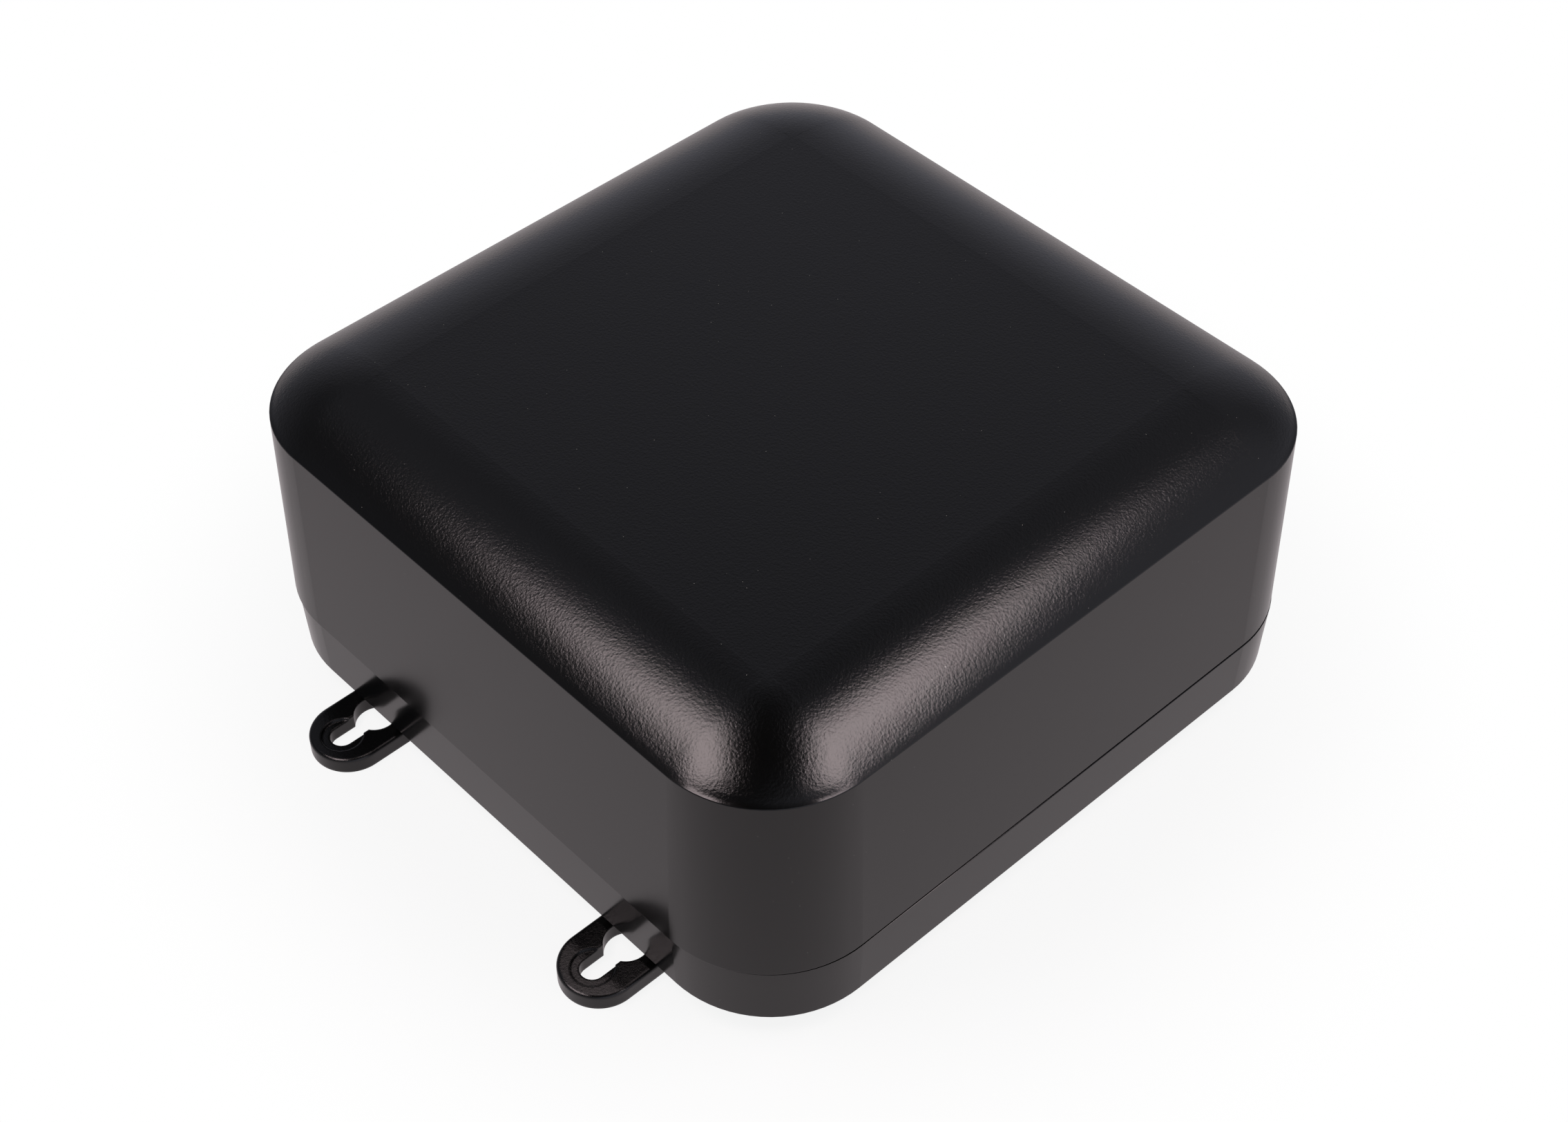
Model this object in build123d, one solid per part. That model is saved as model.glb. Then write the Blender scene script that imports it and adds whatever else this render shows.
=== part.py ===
from math import asin, cos, radians, sin, tan
import os

from build123d import *

# A square wall-mount housing: a deep cover with a pillow-shaped top over a shallow base tray, and
# four keyhole brackets screwed under the base. Millimetres, +Z up, away from the wall.
# Origin: centre of the plane that the undersides of the brackets lie in.

# Cover
COVER_SIDE = 150.0            # across the flats, at the crease below the pillow top
CREASE_Z = 63.65              # height of the crease
CREASE_ROUND = 0.3
PILLOW_WIDTH = 22.0           # from the crease in to the flat of the top
FLAT_CORNER = 1.0             # plan radius of the flat's corners
PILLOW_TILT = 38.0            # degrees of slope where the pillow meets the crease
COVER_DRAFT = 1.43            # degrees; the walls widen towards the rim
COVER_WALL = 2.6
COVER_SHIFT = -0.35           # along X, from the base's centre, within the play of the tongue

# Base tray
BASE_Z = 4.9                  # underside
BASE_HEIGHT = 14.1            # underside to rim
BASE_INSET = 0.1              # of the base's rim inside the cover's
BASE_DRAFT = 2.44             # degrees; the walls narrow towards the underside
BASE_FLOOR = 2.6
BASE_EDGE_ROUND = 0.4
TRAY_DRAFT = 1.0              # degrees, inside
SEAM_GAP = 0.3                # open height between the two rims
RIM_ROUND = 0.2               # on the outer edge of each rim

# Tongue, groove and seal
TONGUE_GAP = 0.65             # between the tongue and the cover's wall
TONGUE_WALL = 1.4
TONGUE_HEIGHT = 4.0
GROOVE_WIDTH = 1.6
GROOVE_DEPTH = 1.8
SEAL_GAP = 0.05               # between the seal and each side of its groove

# Cover screws, driven from below
SCREW_INSET = 14.5            # of each screw's axis from the cover's two sides
SCREW_D = 3.6
SCREW_LENGTH = 20.0           # under the head
SCREW_HEAD_D = 7.4
SCREW_HEAD_HEIGHT = 2.6
SCREW_HEAD_ROUND = 0.5
SCREW_SOCKET_D = 3.6          # hexagon socket, across its corners
SCREW_SOCKET_DEPTH = 1.5
SCREW_THROUGH_GAP = 0.55      # round the shank in the base
SCREW_HEAD_GAP = 0.8          # round the head in its counterbore
PILOT_GAP = 0.1               # round a screw in its blind hole
PILOT_SPARE = 1.5             # of a blind hole past the screw's tip
BOSS_WALL = 2.8               # round the cover's blind holes
BOSS_Z = 21.0                 # foot of the cover's bosses
BOSS_GAP = 0.3                # between each boss and the pillar below it
PILLAR_WALL = 1.5             # round the base's counterbores
PILLAR_ROOF = 5.0             # over each counterbore

# Stand-offs for what the housing holds
STANDOFF_INSET = 33.0         # of each axis from the cover's two sides
STANDOFF_D = 6.5
STANDOFF_HEIGHT = 6.0
STANDOFF_BORE_D = 2.6
STANDOFF_BORE_DEPTH = 5.0

# Keyhole brackets
BRACKET_SPACING = 76.0        # between the two brackets of a side
BRACKET_OVERHANG = 14.6       # of the rounded end past the cover's side
BRACKET_LENGTH = 39.0
BRACKET_WIDTH = 15.9
BRACKET_THICK = 3.4
BRACKET_ROUND = 0.6           # along the upper edge
BRACKET_TAIL_ROUND = 2.0
PAD_LENGTH = 19.0             # of the raised pad that meets the base
SLOT_D = 5.0                  # narrow end of the keyhole
SLOT_INSET = 6.25             # of its centre from the rounded end
HEAD_HOLE_D = 8.8             # wide end of the keyhole
KEYHOLE_PITCH = 8.2           # between the centres of the two ends
SEAT_D = 8.3                  # shallow seat round the narrow end
SEAT_DEPTH = 0.45

# Bracket screws, countersunk
BRACKET_SCREW_D = 3.0
BRACKET_SCREW_LENGTH = 13.0
BRACKET_SCREW_HEAD_D = 6.2
BRACKET_SCREW_SINK = 0.2      # of the head, inside the bracket's underside
BRACKET_SCREW_PITCH = 9.0
BRACKET_SOCKET_D = 2.4
BRACKET_SOCKET_DEPTH = 1.2
BRACKET_BOSS_WALL = 2.4       # round the base's blind holes
BRACKET_BOSS_ROOF = 1.5

# Worked out from the sizes above
RIM_Z = BASE_Z + BASE_HEIGHT
COVER_RIM_Z = RIM_Z + SEAM_GAP
FLOOR_Z = BASE_Z + BASE_FLOOR
PILLOW_RADIUS = PILLOW_WIDTH / sin(radians(PILLOW_TILT))
TOP_Z = CREASE_Z + PILLOW_RADIUS * (1 - cos(radians(PILLOW_TILT)))
FLAT_HALF = COVER_SIDE / 2 - PILLOW_WIDTH
CORNER_CENTRE = FLAT_HALF - FLAT_CORNER
COVER_RIM_HALF = COVER_SIDE / 2 + (CREASE_Z - COVER_RIM_Z) * tan(radians(COVER_DRAFT))
BASE_RIM_HALF = COVER_RIM_HALF - BASE_INSET
TONGUE_HALF = COVER_RIM_HALF - COVER_WALL - TONGUE_GAP
SCREW_SPACING = COVER_SIDE - 2 * SCREW_INSET
STANDOFF_SPACING = COVER_SIDE - 2 * STANDOFF_INSET
COUNTERBORE_D = SCREW_HEAD_D + 2 * SCREW_HEAD_GAP
PILLAR_Z = BOSS_Z - BOSS_GAP
SCREW_SEAT_Z = PILLAR_Z - PILLAR_ROOF
PILOT_D = SCREW_D + 2 * PILOT_GAP
BRACKET_BORE_D = BRACKET_SCREW_D + 2 * PILOT_GAP
BRACKET_BORE_Z = BRACKET_SCREW_SINK + BRACKET_SCREW_LENGTH + PILOT_SPARE
BRACKET_REACH = COVER_SIDE / 2 + BRACKET_OVERHANG
BRACKET_TAIL_X = BRACKET_REACH - BRACKET_LENGTH
SLOT_X = BRACKET_REACH - SLOT_INSET
HEAD_HOLE_X = SLOT_X - KEYHOLE_PITCH

UPWARDS = (Align.CENTER, Align.CENTER, Align.MIN)
SIDES = {"left": -1, "right": 1}      # along X
ENDS = {"front": -1, "rear": 1}       # along Y


def outline(half):
    """Rounded square; its corner arcs keep the same centres at every size."""
    return RectangleRounded(2 * half, 2 * half, half - CORNER_CENTRE)


def block(half, z, height, draft=0.0):
    """Upright block on a rounded square; a positive draft narrows it upwards."""
    return extrude(Pos(0, 0, z) * outline(half), amount=height, taper=draft)


def ring(outer_half, inner_half, z, height):
    """Upright band between two rounded squares."""
    return extrude(Pos(0, 0, z) * (outline(outer_half) - outline(inner_half)), amount=height)


def post(diameter, z, top):
    """Upright cylinder between two heights."""
    return Pos(0, 0, z) * Cylinder(diameter / 2, top - z, align=UPWARDS)


def socket(diameter, depth):
    """Hexagon socket, open at the origin's plane and sunk upwards."""
    return extrude(RegularPolygon(diameter / 2, 6), amount=depth)


def corner_places(spacing):
    """Name and place of each corner of a square."""
    places = {}
    for side, x in SIDES.items():
        for end, y in ENDS.items():
            places[f"{side}_{end}"] = Pos(x * spacing / 2, y * spacing / 2, 0)
    return places


def at_corners(spacing, shape):
    """The shape at the four corners of a square."""
    return [place * shape for place in corner_places(spacing).values()]


def pillow_block(inset):
    """Everything inside the cover's outer skin, less a layer of the inset's thickness."""
    radius = PILLOW_RADIUS - inset
    half = COVER_SIDE / 2 - inset
    top = TOP_Z - inset
    slope = asin((half - FLAT_HALF) / radius)
    crease = top - radius * (1 - cos(slope))
    wall_height = crease - COVER_RIM_Z
    walls = block(half + wall_height * tan(radians(COVER_DRAFT)), COVER_RIM_Z, wall_height, COVER_DRAFT)
    middle = (FLAT_HALF + radius * sin(slope / 2), top - radius * (1 - cos(slope / 2)))
    arc = ThreePointArc((half, crease), middle, (FLAT_HALF, top))
    corner = Polyline((FLAT_HALF, top), (FLAT_HALF, crease), (half, crease))
    path = (Pos(0, 0, crease) * outline(half)).wire()
    edge = sweep(Plane.XZ * make_face(arc + corner), path=path)
    return walls + edge + block(FLAT_HALF, crease, top - crease)


def make_cover():
    """Deep shell with four screw bosses moulded under its top."""
    skin = pillow_block(0)
    crease = skin.edges().filter_by_position(Axis.Z, CREASE_Z - CREASE_ROUND, CREASE_Z + CREASE_ROUND)
    skin = fillet(crease, CREASE_ROUND)
    skin = fillet(skin.faces().sort_by(Axis.Z)[0].edges(), RIM_ROUND)
    cover = skin - pillow_block(COVER_WALL)
    bosses = at_corners(SCREW_SPACING, post(PILOT_D + 2 * BOSS_WALL, BOSS_Z, TOP_Z))
    cover += pillow_block(COVER_WALL / 2) & Compound(bosses)
    cover -= at_corners(SCREW_SPACING, post(PILOT_D, BOSS_Z, SCREW_SEAT_Z + SCREW_LENGTH + PILOT_SPARE))
    return Pos(COVER_SHIFT, 0, 0) * cover


def make_base():
    """Shallow tray with its tongue, seal groove, screw pillars, bracket bosses and stand-offs."""
    foot_half = BASE_RIM_HALF - BASE_HEIGHT * tan(radians(BASE_DRAFT))
    tray = block(foot_half, BASE_Z, BASE_HEIGHT, -BASE_DRAFT)
    tray = fillet(tray.faces().sort_by(Axis.Z)[0].edges(), BASE_EDGE_ROUND)
    tray = fillet(tray.faces().sort_by(Axis.Z)[-1].edges(), RIM_ROUND)
    tongue = block(TONGUE_HALF, RIM_Z, TONGUE_HEIGHT)
    depth = RIM_Z + TONGUE_HEIGHT - FLOOR_Z
    floor_half = TONGUE_HALF - TONGUE_WALL - depth * tan(radians(TRAY_DRAFT))
    base = tray + tongue - block(floor_half, FLOOR_Z, depth, -TRAY_DRAFT)
    base -= ring(TONGUE_HALF + GROOVE_WIDTH, TONGUE_HALF, RIM_Z - GROOVE_DEPTH, GROOVE_DEPTH)

    base += at_corners(SCREW_SPACING, post(COUNTERBORE_D + 2 * PILLAR_WALL, BASE_Z, PILLAR_Z))
    base -= at_corners(SCREW_SPACING, post(COUNTERBORE_D, BASE_Z, SCREW_SEAT_Z))
    base -= at_corners(SCREW_SPACING, post(SCREW_D + 2 * SCREW_THROUGH_GAP, BASE_Z, PILLAR_Z))

    in_floor = BASE_Z + BASE_FLOOR / 2
    standoff_z = FLOOR_Z + STANDOFF_HEIGHT
    base += at_corners(STANDOFF_SPACING, post(STANDOFF_D, in_floor, standoff_z))
    base -= at_corners(STANDOFF_SPACING, post(STANDOFF_BORE_D, standoff_z - STANDOFF_BORE_DEPTH, standoff_z))

    boss = post(BRACKET_BORE_D + 2 * BRACKET_BOSS_WALL, in_floor, BRACKET_BORE_Z + BRACKET_BOSS_ROOF)
    bore = post(BRACKET_BORE_D, BASE_Z, BRACKET_BORE_Z)
    base += at_bracket_screws(boss)
    base -= at_bracket_screws(bore)
    return base


def make_seal():
    """Rubber ring that fills the groove and carries the cover's rim."""
    outer_half = TONGUE_HALF + GROOVE_WIDTH - SEAL_GAP
    return ring(outer_half, TONGUE_HALF + SEAL_GAP, RIM_Z - GROOVE_DEPTH, GROOVE_DEPTH + SEAM_GAP)


def make_cover_screw():
    """Round-headed screw, head down, in its place above the origin."""
    head_z = SCREW_SEAT_Z - SCREW_HEAD_HEIGHT
    head = post(SCREW_HEAD_D, head_z, SCREW_SEAT_Z)
    head = fillet(head.edges().sort_by(Axis.Z)[0], SCREW_HEAD_ROUND)
    shank = post(SCREW_D, SCREW_SEAT_Z, SCREW_SEAT_Z + SCREW_LENGTH)
    return head + shank - Pos(0, 0, head_z) * socket(SCREW_SOCKET_D, SCREW_SOCKET_DEPTH)


def countersunk(gap):
    """Countersunk head and shank, head down, with a gap all round them."""
    head_radius = BRACKET_SCREW_HEAD_D / 2 + gap
    shank_radius = BRACKET_SCREW_D / 2 + gap
    head = Cone(head_radius, shank_radius, head_radius - shank_radius, align=UPWARDS)
    shank = post(2 * shank_radius, 0, BRACKET_SCREW_LENGTH)
    return Pos(0, 0, BRACKET_SCREW_SINK) * (head + shank)


def make_bracket_screw():
    """Countersunk screw in its place above the origin."""
    return countersunk(0) - Pos(0, 0, BRACKET_SCREW_SINK) * socket(BRACKET_SOCKET_D, BRACKET_SOCKET_DEPTH)


def make_bracket():
    """Keyhole bracket along +X: a tab with a rounded end, and a raised pad under the base."""
    end_x = BRACKET_REACH - BRACKET_WIDTH / 2
    tab = Pos(end_x, 0) * Circle(BRACKET_WIDTH / 2)
    tab += Pos((end_x + BRACKET_TAIL_X) / 2, 0) * Rectangle(end_x - BRACKET_TAIL_X, BRACKET_WIDTH)
    tab = fillet(tab.vertices().group_by(Axis.X)[0], BRACKET_TAIL_ROUND)
    bracket = extrude(tab, amount=BRACKET_THICK)
    bracket = fillet(bracket.faces().sort_by(Axis.Z)[-1].edges(), BRACKET_ROUND)
    pad = tab & Pos(BRACKET_TAIL_X + PAD_LENGTH / 2, 0) * Rectangle(PAD_LENGTH, BRACKET_WIDTH)
    bracket += extrude(pad, amount=BASE_Z)

    keyhole = Pos(SLOT_X, 0) * Circle(SLOT_D / 2) + Pos(HEAD_HOLE_X, 0) * Circle(HEAD_HOLE_D / 2)
    keyhole += Pos((SLOT_X + HEAD_HOLE_X) / 2, 0) * Rectangle(SLOT_X - HEAD_HOLE_X, SLOT_D)
    bracket -= extrude(keyhole, amount=BRACKET_THICK)
    bracket -= Pos(SLOT_X, 0, 0) * post(SEAT_D, BRACKET_THICK - SEAT_DEPTH, BRACKET_THICK)

    hole = countersunk(PILOT_GAP) + post(BRACKET_SCREW_HEAD_D + 2 * PILOT_GAP, 0, BRACKET_SCREW_SINK)
    return bracket - [place * hole for place in screw_places().values()]


def bracket_places():
    """Name and place of each bracket, from the one drawn along +X."""
    places = {}
    for side, x in SIDES.items():
        for end, y in ENDS.items():
            turn = Rot(0, 0, 90 - 90 * x)
            places[f"{side}_{end}"] = Pos(0, y * BRACKET_SPACING / 2, 0) * turn
    return places


def screw_places():
    """Name and place of the two screws of the bracket drawn along +X."""
    middle = BRACKET_TAIL_X + PAD_LENGTH / 2
    half = BRACKET_SCREW_PITCH / 2
    return {"inner": Pos(middle - half, 0, 0), "outer": Pos(middle + half, 0, 0)}


def at_bracket_screws(shape):
    """The shape at each bracket screw."""
    screws = screw_places().values()
    return [bracket * screw * shape for bracket in bracket_places().values() for screw in screws]


def make_nodes():
    """Every piece in its place, by name."""
    nodes = {"cover": make_cover(), "base": make_base(), "seal": make_seal()}
    cover_screw = make_cover_screw()
    for corner, place in corner_places(SCREW_SPACING).items():
        nodes[f"cover_screw_{corner}"] = Pos(COVER_SHIFT, 0, 0) * place * cover_screw
    bracket = make_bracket()
    bracket_screw = make_bracket_screw()
    for corner, place in bracket_places().items():
        nodes[f"bracket_{corner}"] = place * bracket
        for end, screw_place in screw_places().items():
            nodes[f"bracket_screw_{corner}_{end}"] = place * screw_place * bracket_screw
    return nodes


if __name__ == "__main__":
    os.makedirs("parts", exist_ok=True)
    for name, shape in make_nodes().items():
        export_step(shape, f"parts/{name}.step")
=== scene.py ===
"""Finishes and studio stage of a square wall-mount housing moulded in black plastic."""

import math

import bpy
from bpy.props import FloatProperty, FloatVectorProperty, PointerProperty
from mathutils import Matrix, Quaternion, Vector


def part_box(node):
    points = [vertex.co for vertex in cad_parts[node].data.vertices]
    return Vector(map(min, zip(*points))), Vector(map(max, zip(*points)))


bl_info = {
    "name": "Wall Housing Finishes",
    "version": (1, 0, 0),
    "blender": (4, 5, 0),
    "location": "3D View > Sidebar > Housing",
    "description": "Finishes a moulded wall-mount housing and sets its studio stage",
    "category": "Object",
}

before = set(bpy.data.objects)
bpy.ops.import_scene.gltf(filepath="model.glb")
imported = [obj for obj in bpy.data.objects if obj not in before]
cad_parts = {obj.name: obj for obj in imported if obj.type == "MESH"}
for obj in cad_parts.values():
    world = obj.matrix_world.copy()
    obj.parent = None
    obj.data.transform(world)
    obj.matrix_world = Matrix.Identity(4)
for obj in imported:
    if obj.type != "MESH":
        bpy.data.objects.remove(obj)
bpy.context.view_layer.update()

MM = 0.001

# Cover
COVER_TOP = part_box("cover")[1][2]
PILLOW_HEIGHT = 7.6 * MM      # of the cover's pillow top, above the crease round it
CREASE_FADE = 1.2 * MM        # of height over which the cover's grain comes in above the crease
LIP_START = 55 * MM           # from both middle planes to where the crease's lip starts at each corner
LIP_FULL = 61 * MM            # from both middle planes to where it has its whole height
LIP_RISE = 0.7 * MM           # of the surface over the lip's width
LIP_HEIGHT = 0.10 * MM

# Base
BASE_RIM = 19.0 * MM          # height of the seam between the base and the cover
SEAM_THIN = 0.20 * MM         # height of the base's eased rim at the left of its front side
SEAM_WIDE = 0.50 * MM         # from the middle to the right, where the side bows away from the cover
SEAM_THIN_X = -62 * MM        # place along X up to which the rim keeps its least height
SEAM_WIDE_X = -15 * MM        # place along X from which it has its greatest
SEAM_DEPTH = 1.0 * MM         # of the eased rim's bump, as deep as the line needs to show dark
SEAM_FRONT = 51 * MM          # in front of the middle plane, from where the rim is eased
SEAM_FRONT_FULL = 56 * MM     # in front of the middle plane, from where it is wholly eased

# Brackets
BRACKET_TOP = 3.4 * MM        # height of the faces that show
BRACKET_EDGE = 0.6 * MM       # from those faces down to the side's satin, below the keyholes' seats
EDGE_FADE = 0.1 * MM          # of height over which the brackets' grain comes in
EDGE_RADIUS = 0.6 * MM        # of the keyholes' edges
EDGE_SAMPLES = 6

# Plastic
PLASTIC_IOR = 1.5
FINE_SHARE = 2                # finer grains to the width of one grain
MOTTLE_PITCH = 6 * MM         # of the drift in the satin's gloss
SATIN_DRIFT = 0.02            # of the satin's roughness, up and down
DUST_PITCH = 2.6 * MM         # between specks of dust
DUST_RADIUS = 0.07 * MM
DUST_SHARE = 0.60             # of a speck's own colour that shows
DUST_COLOUR = "b8b4ae"

# Rubber and zinc
SILICONE_IOR = 1.42
BLOOM_PITCH = 0.8 * MM        # of the dust in the rubber's skin
RUBBER_ROUGHNESS = (0.65, 0.85)
CRYSTAL_PITCH = 1.2 * MM      # of the zinc's cloudy drift
ZINC_ROUGHNESS = (0.22, 0.42)

# Stage
CLIP_START = 0.01             # metres in front of the camera
FLOOR_HALF = 4.0              # metres from the housing to the floor's edges
FLOOR_DROP = 0.05 * MM        # below the brackets
PAPER_WHITE = 0.85            # share of light that the paper sends back
SHADOW_NEAR = 0.085           # metres round the housing in which the floor keeps its whole shadow
SHADOW_FAR = 0.15             # metres at which the shadow has faded out
SHADOW_SHARE = 0.13           # of the lit floor under the housing; the rest is plain white
HORIZON_GLOSS = 0.32          # brightness of the studio at the horizon, as a gloss sees it
DARK_ABOVE = 0.90             # sine of the elevation at which it has faded out
PALE_PATCHES = {              # azimuth, elevation and half-width in degrees, and brightness
    "backdrop": (43, 24, 45, 0.24),
    "card": (-79, -6, 89, 0.58),
    "glow_left": (95, 59, 20, 0.22),
    "glow_right": (-15, 55, 29, 0.21),
}
LAMP_AIMS = {                 # azimuth, elevation and roll in degrees
    "softbox_left": (161, 59, -26),
    "softbox_right": (-67, 59, 30),
}


def linear(hex_colour):
    """sRGB hex value as the linear colour that a shader takes."""
    channels = [int(hex_colour[i:i + 2], 16) / 255 for i in (0, 2, 4)]
    return [c / 12.92 if c <= 0.04045 else ((c + 0.055) / 1.055) ** 2.4 for c in channels]


def colour_property(name, description, hex_colour):
    """A colour that the user may change."""
    return FloatVectorProperty(
        name=name, description=description, subtype="COLOR", size=3, min=0, max=1,
        default=linear(hex_colour))


def size_property(name, description, default, low=0.0):
    """A length in metres that the user may change."""
    return FloatProperty(
        name=name, description=description, subtype="DISTANCE", unit="LENGTH", precision=5,
        min=low, default=default)


def share_property(name, description, default):
    """A number from 0 to 1 that the user may change."""
    return FloatProperty(
        name=name, description=description, subtype="FACTOR", min=0, max=1, default=default)


class PlasticSettings(bpy.types.PropertyGroup):
    """What the mould and the polymer give the three plastic mouldings."""

    cover_colour: colour_property("Cover colour", "Colour of the cover's ABS", "060606")
    base_colour: colour_property("Base colour", "Colour of the base's ABS", "060606")
    bracket_colour: colour_property("Bracket colour", "Colour of the brackets' nylon", "080808")
    grain: size_property("Grain", "Width of one grain of the spark-eroded texture", 0.48 * MM, 0.05 * MM)
    grain_depth: size_property("Grain depth", "Depth of the cover's spark-eroded texture", 0.025 * MM)
    fine_depth: size_property("Fine grain depth", "Depth of the brackets' texture", 0.009 * MM)
    satin_roughness: share_property("Satin roughness", "Roughness of the smooth side walls", 0.16)
    grained_roughness: share_property("Grained roughness", "Roughness between the grains", 0.15)


class FixingSettings(bpy.types.PropertyGroup):
    """Colours of the seal and the screws."""

    seal_colour: colour_property("Seal colour", "Colour of the rubber seal", "101010")
    zinc_colour: colour_property("Zinc colour", "Colour of the screws' zinc plate", "c4c6c8")


class StageSettings(bpy.types.PropertyGroup):
    """Floor, lamps and camera."""

    lens: FloatProperty(
        name="Lens", description="Focal length", subtype="DISTANCE_CAMERA", default=60, min=1)
    camera_place: FloatVectorProperty(
        name="Camera", description="Place of the camera", subtype="XYZ", unit="LENGTH",
        default=(-0.2487, -0.2646, 0.3964))
    camera_target: FloatVectorProperty(
        name="Target", description="Point that the camera looks at", subtype="XYZ", unit="LENGTH",
        default=(-0.0051, -0.0057, 0.0300))
    lamp_distance: size_property("Lamp distance", "From the housing to each softbox", 0.42, 0.2)
    lamp_length: size_property("Lamp length", "Long side of each softbox", 0.23, 0.05)
    lamp_width: size_property("Lamp width", "Short side of each softbox", 0.127, 0.02)
    lamp_colour: colour_property("Lamp colour", "Colour of the softboxes", "ffedef")
    lamp_power: FloatProperty(
        name="Lamp power", description="Power of each softbox", subtype="POWER", unit="POWER",
        default=0.63, min=0)
    fill: share_property("Fill", "Brightness of the room's even light", 0.35)
    fill_colour: colour_property("Fill colour", "Colour of the room's even light", "eaffff")
    studio_colour: colour_property("Studio colour", "Colour of the studio that glosses see", "f0f0ff")
    paper_gloss: share_property("Paper in gloss", "Brightness of the paper that glosses see", 0.58)
    paper_colour: colour_property("Paper colour", "Colour of the paper that glosses see", "fff5f8")


def add(tree, kind, inputs=None, **settings):
    """Add a node: inputs are values or other nodes' sockets, settings are the node's own attributes."""
    node = tree.nodes.new(kind)
    for name, value in settings.items():
        setattr(node, name, value)
    for key, value in (inputs or {}).items():
        if isinstance(value, bpy.types.NodeSocket):
            tree.links.new(value, node.inputs[key])
        else:
            node.inputs[key].default_value = value
    return node


def new_tree(owner):
    """Empty node tree of a material or world."""
    owner.use_nodes = True
    owner.node_tree.nodes.clear()
    return owner.node_tree


def finish_tree(tree, surface):
    """Link the last shader to the tree's output."""
    is_world = isinstance(tree.id_data, bpy.types.World)
    add(tree, "ShaderNodeOutputWorld" if is_world else "ShaderNodeOutputMaterial", {"Surface": surface})


def dress(node_name, material):
    """Give a CAD node its finish."""
    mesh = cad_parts[node_name].data
    mesh.materials.clear()
    mesh.materials.append(material)


def corner_lip(tree, place, height, step_height):
    """Normal of the faint lip that the mould's parting edge leaves along the crease at each corner."""
    flanks = add(tree, "ShaderNodeVectorMath", {0: place}, operation="ABSOLUTE").outputs[0]
    flanks = add(tree, "ShaderNodeSeparateXYZ", {"Vector": flanks})
    inner = add(tree, "ShaderNodeMath", {
        0: flanks.outputs["X"], 1: flanks.outputs["Y"]}, operation="MINIMUM")
    corner = add(tree, "ShaderNodeMapRange", {
        "Value": inner.outputs[0], "From Min": LIP_START, "From Max": LIP_FULL})
    rise = add(tree, "ShaderNodeMapRange", {
        "Value": height, "From Min": step_height + LIP_RISE, "From Max": step_height})
    curve = add(tree, "ShaderNodeMath", {0: rise.outputs[0], 1: 2.0}, operation="POWER")
    lip = add(tree, "ShaderNodeMath", {0: corner.outputs[0], 1: curve.outputs[0]}, operation="MULTIPLY")
    return add(tree, "ShaderNodeBump", {
        "Height": lip.outputs[0], "Distance": LIP_HEIGHT, "Strength": 1.0}).outputs["Normal"]


def drifting_roughness(tree, place, pitch, detail, low, high):
    """Roughness that wanders between two values in soft clouds."""
    clouds = add(tree, "ShaderNodeTexNoise", {"Vector": place, "Scale": 1 / pitch, "Detail": detail})
    return add(tree, "ShaderNodeMapRange", {
        "Value": clouds.outputs["Fac"], "To Min": low, "To Max": high}).outputs["Result"]


def satin_roughness(tree, place, settings):
    """Roughness of the lightly blasted faces."""
    middle = settings.satin_roughness
    return drifting_roughness(tree, place, MOTTLE_PITCH, 2.0, middle - SATIN_DRIFT, middle + SATIN_DRIFT)


def dusted(tree, place, colour):
    """The plastic's colour with sparse pale specks of the dust that static holds on it."""
    specks = add(tree, "ShaderNodeTexVoronoi", {"Vector": place, "Scale": 1 / DUST_PITCH})
    radius = DUST_RADIUS / DUST_PITCH
    speck = add(tree, "ShaderNodeMapRange", {
        "Value": specks.outputs["Distance"], "From Min": radius, "From Max": radius / 2,
        "To Max": DUST_SHARE})
    mix = add(tree, "ShaderNodeMix", {
        0: speck.outputs["Result"], 6: (*colour, 1), 7: (*linear(DUST_COLOUR), 1)}, data_type="RGBA")
    return mix.outputs[2]


def soft_edges(tree, place, height, step_height):
    """Normal that rounds the keyholes' edges, which the mould's polished inserts leave soft."""
    return add(tree, "ShaderNodeBevel", {"Radius": EDGE_RADIUS}, samples=EDGE_SAMPLES).outputs["Normal"]


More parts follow.
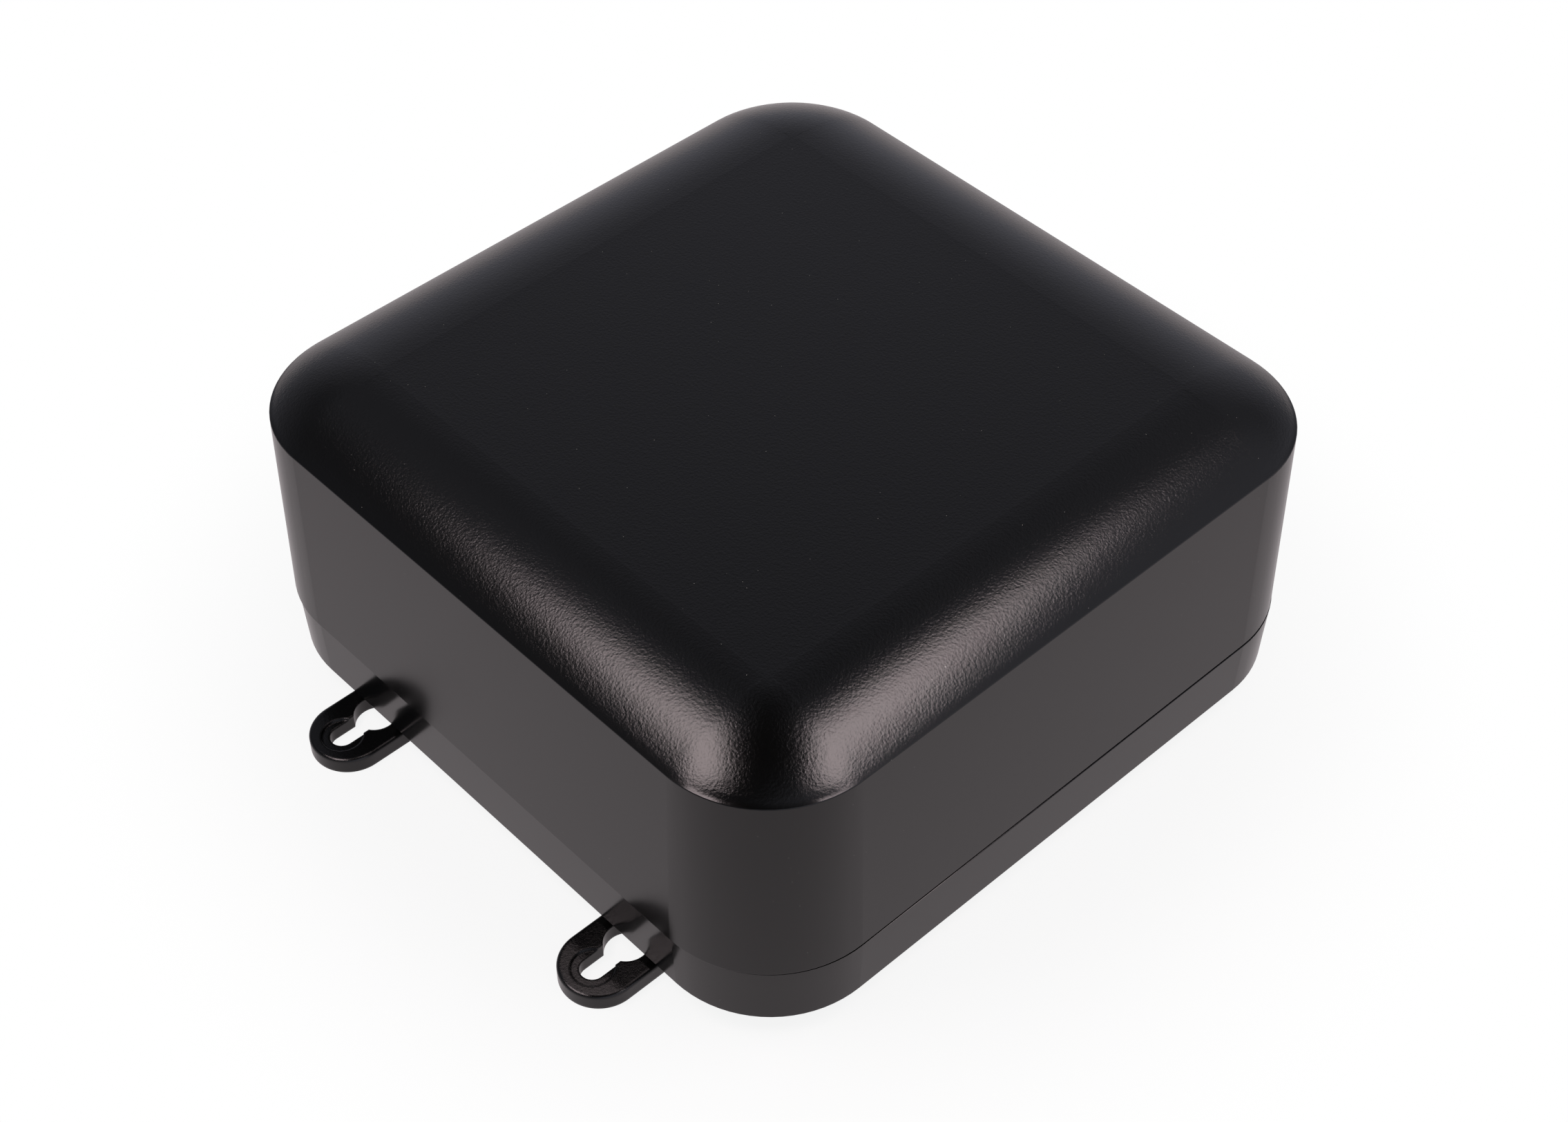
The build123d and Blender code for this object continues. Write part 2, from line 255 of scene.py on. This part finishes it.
def grained_plastic(name, colour, step_height, fade, grain_depth, settings, under_grain):
    """Moulded plastic, spark-eroded above a height and satin below it.

    The mould's top face is spark-eroded, which leaves a fine leathery grain that breaks every
    highlight into sparkle. The grain is drawn coarser than the real one, which is too fine to show
    in a render. The side walls are drawn out along the draft, so they are blasted only lightly and
    come out satin and almost even.
    """
    tree = new_tree(material := bpy.data.materials.new(name))
    place = add(tree, "ShaderNodeTexCoord").outputs["Object"]
    height = add(tree, "ShaderNodeSeparateXYZ", {"Vector": place}).outputs["Z"]
    grained = add(tree, "ShaderNodeMapRange", {
        "Value": height, "From Min": step_height, "From Max": step_height + fade})

    cells = add(tree, "ShaderNodeTexVoronoi", {
        "Vector": place, "Scale": 1 / settings.grain, "Randomness": 1.0}, feature="SMOOTH_F1")
    fine = add(tree, "ShaderNodeTexNoise", {
        "Vector": place, "Scale": FINE_SHARE / settings.grain, "Detail": 3.0, "Roughness": 0.6})
    relief = add(tree, "ShaderNodeMath", {
        0: cells.outputs["Distance"], 1: fine.outputs["Fac"]}, operation="ADD")
    depth = add(tree, "ShaderNodeMath", {
        0: relief.outputs[0], 1: grained.outputs["Result"]}, operation="MULTIPLY")
    bump = add(tree, "ShaderNodeBump", {
        "Height": depth.outputs[0], "Distance": grain_depth, "Strength": 1.0,
        "Normal": under_grain(tree, place, height, step_height)})

    roughness = add(tree, "ShaderNodeMix", {
        0: grained.outputs["Result"], 2: satin_roughness(tree, place, settings),
        3: settings.grained_roughness})
    plastic = add(tree, "ShaderNodeBsdfPrincipled", {
        "Base Color": dusted(tree, place, colour), "Roughness": roughness.outputs[0],
        "IOR": PLASTIC_IOR, "Normal": bump.outputs["Normal"]})
    finish_tree(tree, plastic.outputs["BSDF"])
    return material


def eased_rim(tree, place):
    """Normal of the base's rim, which falls back where the front side bows away from the cover."""
    x, y, z = add(tree, "ShaderNodeSeparateXYZ", {"Vector": place}).outputs
    width = add(tree, "ShaderNodeMapRange", {
        "Value": x, "From Min": SEAM_THIN_X, "From Max": SEAM_WIDE_X,
        "To Min": SEAM_THIN, "To Max": SEAM_WIDE})
    foot = add(tree, "ShaderNodeMath", {0: BASE_RIM, 1: width.outputs[0]}, operation="SUBTRACT")
    fall = add(tree, "ShaderNodeMapRange", {
        "Value": z, "From Min": foot.outputs[0], "From Max": BASE_RIM, "To Max": -1.0})
    front = add(tree, "ShaderNodeMapRange", {
        "Value": y, "From Min": -SEAM_FRONT, "From Max": -SEAM_FRONT_FULL})
    depth = add(tree, "ShaderNodeMath", {0: fall.outputs[0], 1: front.outputs[0]}, operation="MULTIPLY")
    return add(tree, "ShaderNodeBump", {
        "Height": depth.outputs[0], "Distance": SEAM_DEPTH, "Strength": 1.0}).outputs["Normal"]


def satin_abs(name, colour, settings):
    """ABS from a lightly blasted mould: an even satin with a faint drift in its gloss."""
    tree = new_tree(material := bpy.data.materials.new(name))
    place = add(tree, "ShaderNodeTexCoord").outputs["Object"]
    plastic = add(tree, "ShaderNodeBsdfPrincipled", {
        "Base Color": dusted(tree, place, colour), "Roughness": satin_roughness(tree, place, settings),
        "IOR": PLASTIC_IOR, "Normal": eased_rim(tree, place)})
    finish_tree(tree, plastic.outputs["BSDF"])
    return material


def moulded_rubber(name, colour):
    """Silicone rubber with a dull, slightly dusty skin, as it leaves a bead-blasted mould."""
    tree = new_tree(material := bpy.data.materials.new(name))
    place = add(tree, "ShaderNodeTexCoord").outputs["Object"]
    rubber = add(tree, "ShaderNodeBsdfPrincipled", {
        "Base Color": (*colour, 1), "IOR": SILICONE_IOR,
        "Roughness": drifting_roughness(tree, place, BLOOM_PITCH, 4.0, *RUBBER_ROUGHNESS)})
    finish_tree(tree, rubber.outputs["BSDF"])
    return material


def zinc_plate(name, colour):
    """Bright zinc plate on steel: the plating's crystals give a faint cloudy drift in its gloss."""
    tree = new_tree(material := bpy.data.materials.new(name))
    place = add(tree, "ShaderNodeTexCoord").outputs["Object"]
    zinc = add(tree, "ShaderNodeBsdfPrincipled", {
        "Base Color": (*colour, 1), "Metallic": 1.0,
        "Roughness": drifting_roughness(tree, place, CRYSTAL_PITCH, 3.0, *ZINC_ROUGHNESS)})
    finish_tree(tree, zinc.outputs["BSDF"])
    return material


class HOUSING_OT_cover(bpy.types.Operator):
    """Finish the cover: grained pillow top over satin walls"""

    bl_idname = "housing.cover"
    bl_label = "Cover"

    def execute(self, context):
        plastic = context.scene.housing_plastic
        crease = COVER_TOP - PILLOW_HEIGHT
        dress("cover", grained_plastic(
            "abs_spark_eroded_top", plastic.cover_colour, crease, CREASE_FADE, plastic.grain_depth,
            plastic, corner_lip))
        return {"FINISHED"}


class HOUSING_OT_base(bpy.types.Operator):
    """Finish the base tray in the same satin ABS as the cover's walls"""

    bl_idname = "housing.base"
    bl_label = "Base"

    def execute(self, context):
        plastic = context.scene.housing_plastic
        dress("base", satin_abs("abs_satin", plastic.base_colour, plastic))
        return {"FINISHED"}


class HOUSING_OT_brackets(bpy.types.Operator):
    """Finish the keyhole brackets: grained faces over satin edges"""

    bl_idname = "housing.brackets"
    bl_label = "Brackets"

    def execute(self, context):
        plastic = context.scene.housing_plastic
        edge = BRACKET_TOP - BRACKET_EDGE
        nylon = grained_plastic(
            "nylon_spark_eroded", plastic.bracket_colour, edge, EDGE_FADE, plastic.fine_depth,
            plastic, soft_edges)
        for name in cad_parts:
            if name.startswith("bracket_") and not name.startswith("bracket_screw"):
                dress(name, nylon)
        return {"FINISHED"}


class HOUSING_OT_fixings(bpy.types.Operator):
    """Finish the rubber seal and the zinc-plated screws"""

    bl_idname = "housing.fixings"
    bl_label = "Seal and screws"

    def execute(self, context):
        fixings = context.scene.housing_fixings
        dress("seal", moulded_rubber("silicone_rubber", fixings.seal_colour))
        zinc = zinc_plate("zinc_plated_steel", fixings.zinc_colour)
        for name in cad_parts:
            if "_screw_" in name:
                dress(name, zinc)
        return {"FINISHED"}


def direction(azimuth, elevation):
    """Unit vector at an azimuth from +X and an elevation, in degrees."""
    azimuth, elevation = math.radians(azimuth), math.radians(elevation)
    flat = math.cos(elevation)
    return Vector((flat * math.cos(azimuth), flat * math.sin(azimuth), math.sin(elevation)))


def background_rays(tree):
    """Whether a ray sees the background, and how bright: plain white, or the lit paper in a gloss."""
    path = add(tree, "ShaderNodeLightPath")
    direct = add(tree, "ShaderNodeMath", {
        0: path.outputs["Is Camera Ray"], 1: path.outputs["Is Transmission Ray"]}, operation="MAXIMUM")
    seen = add(tree, "ShaderNodeMath", {
        0: direct.outputs[0], 1: path.outputs["Is Glossy Ray"]}, operation="MAXIMUM")
    return direct.outputs[0], seen.outputs[0]


def pale_floor(stage):
    """White paper: plain white to the eye and dimmer in reflections, darker only in the housing's
    shadow.
    """
    tree = new_tree(material := bpy.data.materials.new("white_paper"))
    direct, seen = background_rays(tree)
    paper = add(tree, "ShaderNodeBsdfDiffuse", {"Color": (PAPER_WHITE, PAPER_WHITE, PAPER_WHITE, 1)})
    gloss = [channel * stage.paper_gloss for channel in stage.paper_colour]
    tone = add(tree, "ShaderNodeMix", {0: direct, 6: (*gloss, 1), 7: (1, 1, 1, 1)}, data_type="RGBA")
    white = add(tree, "ShaderNodeEmission", {"Color": tone.outputs[2], "Strength": 1.0})
    place = add(tree, "ShaderNodeTexCoord").outputs["Object"]
    reach = add(tree, "ShaderNodeVectorMath", {0: place}, operation="LENGTH")
    plain = add(tree, "ShaderNodeMapRange", {
        "Value": reach.outputs["Value"], "From Min": SHADOW_NEAR, "From Max": SHADOW_FAR,
        "To Min": 1 - SHADOW_SHARE, "To Max": 1.0}, interpolation_type="SMOOTHSTEP")
    share = add(tree, "ShaderNodeMath", {0: plain.outputs["Result"], 1: seen}, operation="MULTIPLY")
    mix = add(tree, "ShaderNodeMixShader", {
        0: share.outputs[0], 1: paper.outputs["BSDF"], 2: white.outputs["Emission"]})
    finish_tree(tree, mix.outputs["Shader"])
    return material


def make_floor(stage):
    """Flat square floor just under the brackets."""
    mesh = bpy.data.meshes.new("floor")
    quarters = ((-1, -1), (1, -1), (1, 1), (-1, 1))
    corners = [(x * FLOOR_HALF, y * FLOOR_HALF, -FLOOR_DROP) for x, y in quarters]
    mesh.from_pydata(corners, [], [(0, 1, 2, 3)])
    mesh.materials.append(pale_floor(stage))
    floor = bpy.data.objects.new("floor", mesh)
    bpy.context.scene.collection.objects.link(floor)


def pale_patch(tree, heading, azimuth, elevation, half_width, brightness):
    """Soft round patch of light as a gloss sees it, brightest in the middle."""
    facing = add(tree, "ShaderNodeVectorMath", {
        0: heading, 1: direction(azimuth, elevation)}, operation="DOT_PRODUCT")
    patch = add(tree, "ShaderNodeMapRange", {
        "Value": facing.outputs["Value"], "From Min": math.cos(math.radians(half_width)),
        "From Max": 1.0, "To Max": brightness}, interpolation_type="SMOOTHSTEP")
    return patch.outputs["Result"]


def make_world(stage):
    """Even room light; glosses see a studio that is pale round the horizon and dark overhead."""
    world = bpy.data.worlds.new("studio")
    bpy.context.scene.world = world
    tree = new_tree(world)
    heading = add(tree, "ShaderNodeTexCoord").outputs["Generated"]
    height = add(tree, "ShaderNodeSeparateXYZ", {"Vector": heading}).outputs["Z"]
    studio = add(tree, "ShaderNodeMapRange", {
        "Value": height, "From Max": DARK_ABOVE, "To Min": HORIZON_GLOSS, "To Max": 0.0})
    studio = studio.outputs["Result"]
    for patch in PALE_PATCHES.values():
        light = pale_patch(tree, heading, *patch)
        studio = add(tree, "ShaderNodeMath", {0: studio, 1: light}, operation="ADD").outputs[0]
    direct, seen = background_rays(tree)
    dark = add(tree, "ShaderNodeBackground", {"Color": (*stage.studio_colour, 1), "Strength": studio})
    even = add(tree, "ShaderNodeBackground", {"Color": (*stage.fill_colour, 1), "Strength": stage.fill})
    white = add(tree, "ShaderNodeBackground", {"Color": (1, 1, 1, 1), "Strength": 1.0})
    room = add(tree, "ShaderNodeMixShader", {
        0: seen, 1: even.outputs["Background"], 2: dark.outputs["Background"]})
    light = add(tree, "ShaderNodeMixShader", {
        0: direct, 1: room.outputs["Shader"], 2: white.outputs["Background"]})
    finish_tree(tree, light.outputs["Shader"])


def make_softbox(name, azimuth, elevation, roll, stage):
    """Oblong softbox that faces the housing."""
    lamp = bpy.data.lights.new(name, "AREA")
    lamp.shape = "RECTANGLE"
    lamp.size = stage.lamp_length
    lamp.size_y = stage.lamp_width
    lamp.energy = stage.lamp_power
    lamp.color = stage.lamp_colour
    place = direction(azimuth, elevation)
    softbox = bpy.data.objects.new(name, lamp)
    softbox.location = place * stage.lamp_distance
    turn = place.to_track_quat("Z", "Y") @ Quaternion((0, 0, 1), math.radians(roll))
    softbox.rotation_euler = turn.to_euler()
    softbox.visible_camera = False
    bpy.context.scene.collection.objects.link(softbox)


def make_camera(stage):
    """Camera above the front corner, looking down at the housing."""
    lens = bpy.data.cameras.new("camera")
    lens.lens = stage.lens
    lens.clip_start = CLIP_START
    camera = bpy.data.objects.new("camera", lens)
    camera.location = stage.camera_place
    look = Vector(stage.camera_target) - Vector(stage.camera_place)
    camera.rotation_euler = look.to_track_quat("-Z", "Y").to_euler()
    bpy.context.scene.collection.objects.link(camera)
    bpy.context.scene.camera = camera


class HOUSING_OT_stage(bpy.types.Operator):
    """Set the floor, room, softboxes and camera"""

    bl_idname = "housing.stage"
    bl_label = "Stage"

    def execute(self, context):
        stage = context.scene.housing_stage
        context.scene.view_settings.view_transform = "Standard"
        make_floor(stage)
        make_world(stage)
        for name, aim in LAMP_AIMS.items():
            make_softbox(name, *aim, stage)
        make_camera(stage)
        return {"FINISHED"}


class HOUSING_PT_panel(bpy.types.Panel):
    """Lists the housing's settings and steps"""

    bl_idname = "HOUSING_PT_panel"
    bl_label = "Housing"
    bl_space_type = "VIEW_3D"
    bl_region_type = "UI"
    bl_category = "Housing"

    def draw(self, context):
        for settings in SETTINGS:
            group = getattr(context.scene, settings)
            for name in group.__annotations__:
                self.layout.prop(group, name)
        for operator in OPERATORS:
            self.layout.operator(operator.bl_idname)


OPERATORS = (
    HOUSING_OT_cover, HOUSING_OT_base, HOUSING_OT_brackets, HOUSING_OT_fixings, HOUSING_OT_stage)
SETTINGS = {
    "housing_plastic": PlasticSettings,
    "housing_fixings": FixingSettings,
    "housing_stage": StageSettings,
}


def register():
    """Register the settings, operators and panel."""
    for name, group in SETTINGS.items():
        bpy.utils.register_class(group)
        setattr(bpy.types.Scene, name, PointerProperty(type=group))
    for part in (*OPERATORS, HOUSING_PT_panel):
        bpy.utils.register_class(part)


def unregister():
    """Remove what register added."""
    for part in (HOUSING_PT_panel, *reversed(OPERATORS)):
        bpy.utils.unregister_class(part)
    for name, group in SETTINGS.items():
        delattr(bpy.types.Scene, name)
        bpy.utils.unregister_class(group)


def main():
    """Make the whole scene."""
    register()
    bpy.ops.housing.cover()
    bpy.ops.housing.base()
    bpy.ops.housing.brackets()
    bpy.ops.housing.fixings()
    bpy.ops.housing.stage()


if __name__ == "__main__":
    main()
